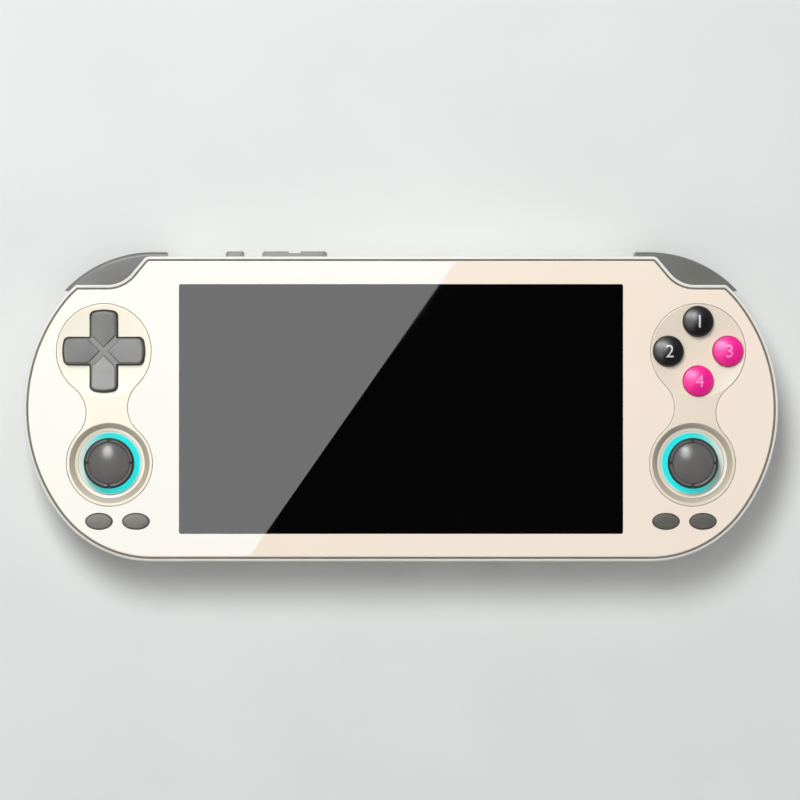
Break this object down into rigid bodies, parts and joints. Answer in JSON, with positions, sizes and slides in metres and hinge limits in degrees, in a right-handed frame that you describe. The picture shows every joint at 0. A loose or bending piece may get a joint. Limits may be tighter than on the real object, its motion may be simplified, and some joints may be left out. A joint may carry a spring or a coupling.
{
  "type": "handheld game console",
  "caption": "Handheld game console with a full-face glass front, wide screen, direction pad, domed face buttons, tilting sticks, shoulder buttons and edge keys.",
  "frame": {"origin": "on the flat back, below the middle of the screen", "axes": "+X to the right of the screen, +Y to the top edge, +Z out of the screen"},
  "size_m": [0.188, 0.0774, 0.0185],
  "materials": {
    "shell_plastic": "fine spark-eroded moulding",
    "cream_plastic": "satin moulding",
    "printed_glass": "clear glass, cream print behind the border",
    "display_black": "switched-off display",
    "grey_plastic": "satin grey moulding",
    "dark_grey_plastic": "satin dark grey moulding",
    "black_gloss": "polished",
    "pink_gloss": "polished",
    "lit_cyan": "light guide",
    "stick_rubber": "matt thumb grip",
    "silicone": "moulded silicone",
    "steel": "plain",
    "aluminium": "rolled sheet",
    "board_green": "solder mask",
    "black_nylon": "moulded nylon",
    "battery_wrap": "laminated pouch",
    "white_tape": "adhesive tape",
    "amber_film": "polyimide film"
  },
  "bodies": {
    "chassis": {"front_shell": "shell_plastic", "rear_shell": "shell_plastic", "cover_glass": "printed_glass", "left_control_plate": "cream_plastic", "right_control_plate": "cream_plastic", "display_panel": "display_black", "display_tray": "steel", "display_ribbon": "amber_film", "main_board": "board_green", "chip_shield": "steel", "heat_spreader": "aluminium", "battery": "battery_wrap", "battery_tape": "white_tape", "left_speaker": "black_nylon", "right_speaker": "black_nylon", "usb_socket": "steel", "headphone_socket": "black_nylon", "card_socket": "steel", "vibration_motor": "steel", "antenna": "amber_film", "edge_switches": "steel", "volume_pin": "steel", "pad_membrane": "silicone", "pad_post": "black_nylon", "button_membrane": "silicone", "option_membranes": "silicone", "left_stick_housing": "steel", "left_light_ring": "lit_cyan", "right_stick_housing": "steel", "right_light_ring": "lit_cyan", "shoulder_boards": "board_green", "shoulder_switches": "black_nylon", "left_shoulder_pin": "steel", "right_shoulder_pin": "steel", "case_screws": "steel", "board_screws": "steel"},
    "pad_pivot": {"pad_ball": "steel"},
    "pad": {"direction_pad": "grey_plastic"},
    "top_button": {"top_button": "black_gloss"},
    "left_button": {"left_button": "black_gloss"},
    "right_button": {"right_button": "pink_gloss"},
    "bottom_button": {"bottom_button": "pink_gloss"},
    "option_1": {"option_button_1": "grey_plastic"},
    "option_2": {"option_button_2": "grey_plastic"},
    "option_3": {"option_button_3": "dark_grey_plastic"},
    "option_4": {"option_button_4": "dark_grey_plastic"},
    "left_stick_gimbal": {"left_gimbal": "black_nylon"},
    "left_stick": {"left_stick_lever": "black_nylon", "left_stick_cap": "stick_rubber"},
    "right_stick_gimbal": {"right_gimbal": "black_nylon"},
    "right_stick": {"right_stick_lever": "black_nylon", "right_stick_cap": "stick_rubber"},
    "left_bumper": {"left_bumper": "grey_plastic"},
    "right_bumper": {"right_bumper": "dark_grey_plastic"},
    "left_trigger": {"left_trigger": "grey_plastic"},
    "right_trigger": {"right_trigger": "dark_grey_plastic"},
    "power_key": {"power_key": "grey_plastic"},
    "volume_rocker": {"volume_rocker": "grey_plastic"}
  },
  "joints": [
    {"name": "pad_up_down", "type": "hinge", "parent": "chassis", "child": "pad_pivot", "pos_m": [-0.074, 0.0144, 0.0116], "axis": [1, 0, 0], "range_deg": [-3, 3], "stiffness_Nm_per_rad": 0.25},
    {"name": "pad_left_right", "type": "hinge", "parent": "pad_pivot", "child": "pad", "pos_m": [-0.074, 0.0144, 0.0116], "axis": [0, 1, 0], "range_deg": [-3, 3], "stiffness_Nm_per_rad": 0.25},
    {"name": "top_button_press", "type": "slide", "parent": "chassis", "child": "top_button", "axis": [0, 0, -1], "range_m": [0, 0.001], "stiffness_N_per_m": 400},
    {"name": "left_button_press", "type": "slide", "parent": "chassis", "child": "left_button", "axis": [0, 0, -1], "range_m": [0, 0.001], "stiffness_N_per_m": 400},
    {"name": "right_button_press", "type": "slide", "parent": "chassis", "child": "right_button", "axis": [0, 0, -1], "range_m": [0, 0.001], "stiffness_N_per_m": 400},
    {"name": "bottom_button_press", "type": "slide", "parent": "chassis", "child": "bottom_button", "axis": [0, 0, -1], "range_m": [0, 0.001], "stiffness_N_per_m": 400},
    {"name": "option_1_press", "type": "slide", "parent": "chassis", "child": "option_1", "axis": [0, 0, -1], "range_m": [0, 0.0005], "stiffness_N_per_m": 500},
    {"name": "option_2_press", "type": "slide", "parent": "chassis", "child": "option_2", "axis": [0, 0, -1], "range_m": [0, 0.0005], "stiffness_N_per_m": 500},
    {"name": "option_3_press", "type": "slide", "parent": "chassis", "child": "option_3", "axis": [0, 0, -1], "range_m": [0, 0.0005], "stiffness_N_per_m": 500},
    {"name": "option_4_press", "type": "slide", "parent": "chassis", "child": "option_4", "axis": [0, 0, -1], "range_m": [0, 0.0005], "stiffness_N_per_m": 500},
    {"name": "left_stick_left_right", "type": "hinge", "parent": "chassis", "child": "left_stick_gimbal", "pos_m": [-0.0726, -0.0135, 0.011], "axis": [0, 1, 0], "range_deg": [-15, 15], "stiffness_Nm_per_rad": 0.016},
    {"name": "left_stick_up_down", "type": "hinge", "parent": "left_stick_gimbal", "child": "left_stick", "pos_m": [-0.0726, -0.0135, 0.011], "axis": [1, 0, 0], "range_deg": [-15, 15], "stiffness_Nm_per_rad": 0.016},
    {"name": "right_stick_left_right", "type": "hinge", "parent": "chassis", "child": "right_stick_gimbal", "pos_m": [0.0726, -0.0135, 0.011], "axis": [0, 1, 0], "range_deg": [-15, 15], "stiffness_Nm_per_rad": 0.016},
    {"name": "right_stick_up_down", "type": "hinge", "parent": "right_stick_gimbal", "child": "right_stick", "pos_m": [0.0726, -0.0135, 0.011], "axis": [1, 0, 0], "range_deg": [-15, 15], "stiffness_Nm_per_rad": 0.016},
    {"name": "left_bumper_press", "type": "hinge", "parent": "chassis", "child": "left_bumper", "pos_m": [-0.0606, 0.0346, 0.008], "axis": [0, 0, 1], "range_deg": [0, 2.5], "stiffness_Nm_per_rad": 0.9},
    {"name": "left_trigger_press", "type": "hinge", "parent": "chassis", "child": "left_trigger", "pos_m": [-0.0606, 0.0346, 0.008], "axis": [0, 0, 1], "range_deg": [0, 2.5], "stiffness_Nm_per_rad": 0.9},
    {"name": "right_bumper_press", "type": "hinge", "parent": "chassis", "child": "right_bumper", "pos_m": [0.0606, 0.0346, 0.008], "axis": [0, 0, -1], "range_deg": [0, 2.5], "stiffness_Nm_per_rad": 0.9},
    {"name": "right_trigger_press", "type": "hinge", "parent": "chassis", "child": "right_trigger", "pos_m": [0.0606, 0.0346, 0.008], "axis": [0, 0, -1], "range_deg": [0, 2.5], "stiffness_Nm_per_rad": 0.9},
    {"name": "power_press", "type": "slide", "parent": "chassis", "child": "power_key", "axis": [0, -1, 0], "range_m": [0, 0.0004], "stiffness_N_per_m": 600},
    {"name": "volume_rock", "type": "hinge", "parent": "chassis", "child": "volume_rocker", "pos_m": [-0.0266, 0.035, 0.0106], "axis": [0, 0, 1], "range_deg": [-1.5, 1.5], "stiffness_Nm_per_rad": 0.3}
  ]
}
